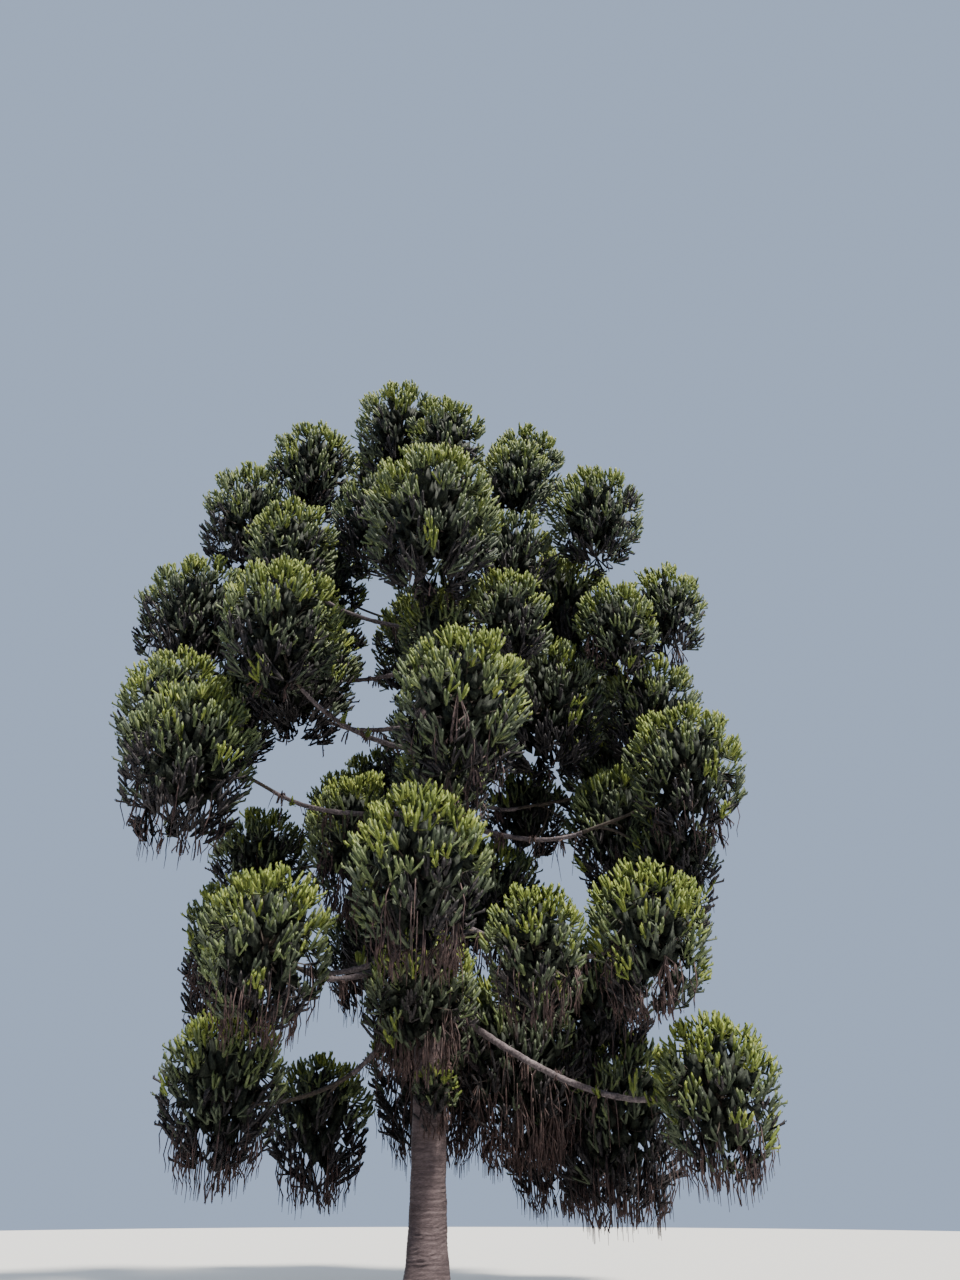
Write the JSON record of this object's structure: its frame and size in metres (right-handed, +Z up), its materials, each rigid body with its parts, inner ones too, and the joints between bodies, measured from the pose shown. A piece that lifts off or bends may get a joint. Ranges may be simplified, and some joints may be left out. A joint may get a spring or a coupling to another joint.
{
  "type": "monkey puzzle tree",
  "caption": "Tall conifer with a whole tapering trunk, long bare boughs and domed tufts of rope-like shoots at their ends, rooted in level ground.",
  "frame": {"origin": "centre of the flat cut under the trunk, at ground level", "axes": "+Z up the trunk, +X to the right and +Y away in the usual view"},
  "size_m": [14.0368, 13.1528, 20.3739],
  "materials": {
    "trunk_bark": "rough, with close rings of wrinkles",
    "bough_bark": "rough, scaly",
    "foliage": "leathery scale leaves"
  },
  "bodies": {
    "root": {"bough_high_back_left": "bough_bark", "bough_high_back_right": "bough_bark", "bough_high_front": "bough_bark", "bough_high_front_left": "bough_bark", "bough_high_front_right": "bough_bark", "bough_high_left": "bough_bark", "bough_low_back": "bough_bark", "bough_low_back_left": "bough_bark", "bough_low_front": "bough_bark", "bough_low_front_left": "bough_bark", "bough_low_front_right": "bough_bark", "bough_lowest_front_right": "bough_bark", "bough_lowest_left": "bough_bark", "bough_lowest_right": "bough_bark", "bough_mid_back": "bough_bark", "bough_mid_back_left": "bough_bark", "bough_mid_front": "bough_bark", "bough_mid_front_right": "bough_bark", "bough_mid_left": "bough_bark", "bough_mid_right": "bough_bark", "bough_top_front": "bough_bark", "bough_top_right": "bough_bark", "bough_upper_back": "bough_bark", "bough_upper_back_left": "bough_bark", "bough_upper_back_right": "bough_bark", "bough_upper_front_left": "bough_bark", "bough_upper_left": "bough_bark", "bough_upper_right": "bough_bark", "trunk": "trunk_bark", "tuft_high_back_left": "foliage", "tuft_high_back_right": "foliage", "tuft_high_front": "foliage", "tuft_high_front_left": "foliage", "tuft_high_front_right": "foliage", "tuft_high_left": "foliage", "tuft_leader": "foliage", "tuft_low_back": "foliage", "tuft_low_back_left": "foliage", "tuft_low_front": "foliage", "tuft_low_front_left": "foliage", "tuft_low_front_right": "foliage", "tuft_lowest_front_right": "foliage", "tuft_lowest_left": "foliage", "tuft_lowest_right": "foliage", "tuft_mid_back": "foliage", "tuft_mid_back_left": "foliage", "tuft_mid_front": "foliage", "tuft_mid_front_right": "foliage", "tuft_mid_left": "foliage", "tuft_mid_right": "foliage", "tuft_top_front": "foliage", "tuft_top_right": "foliage", "tuft_trunk_sprout": "foliage", "tuft_upper_back": "foliage", "tuft_upper_back_left": "foliage", "tuft_upper_back_right": "foliage", "tuft_upper_front_left": "foliage", "tuft_upper_left": "foliage", "tuft_upper_right": "foliage"}
  },
  "joints": []
}
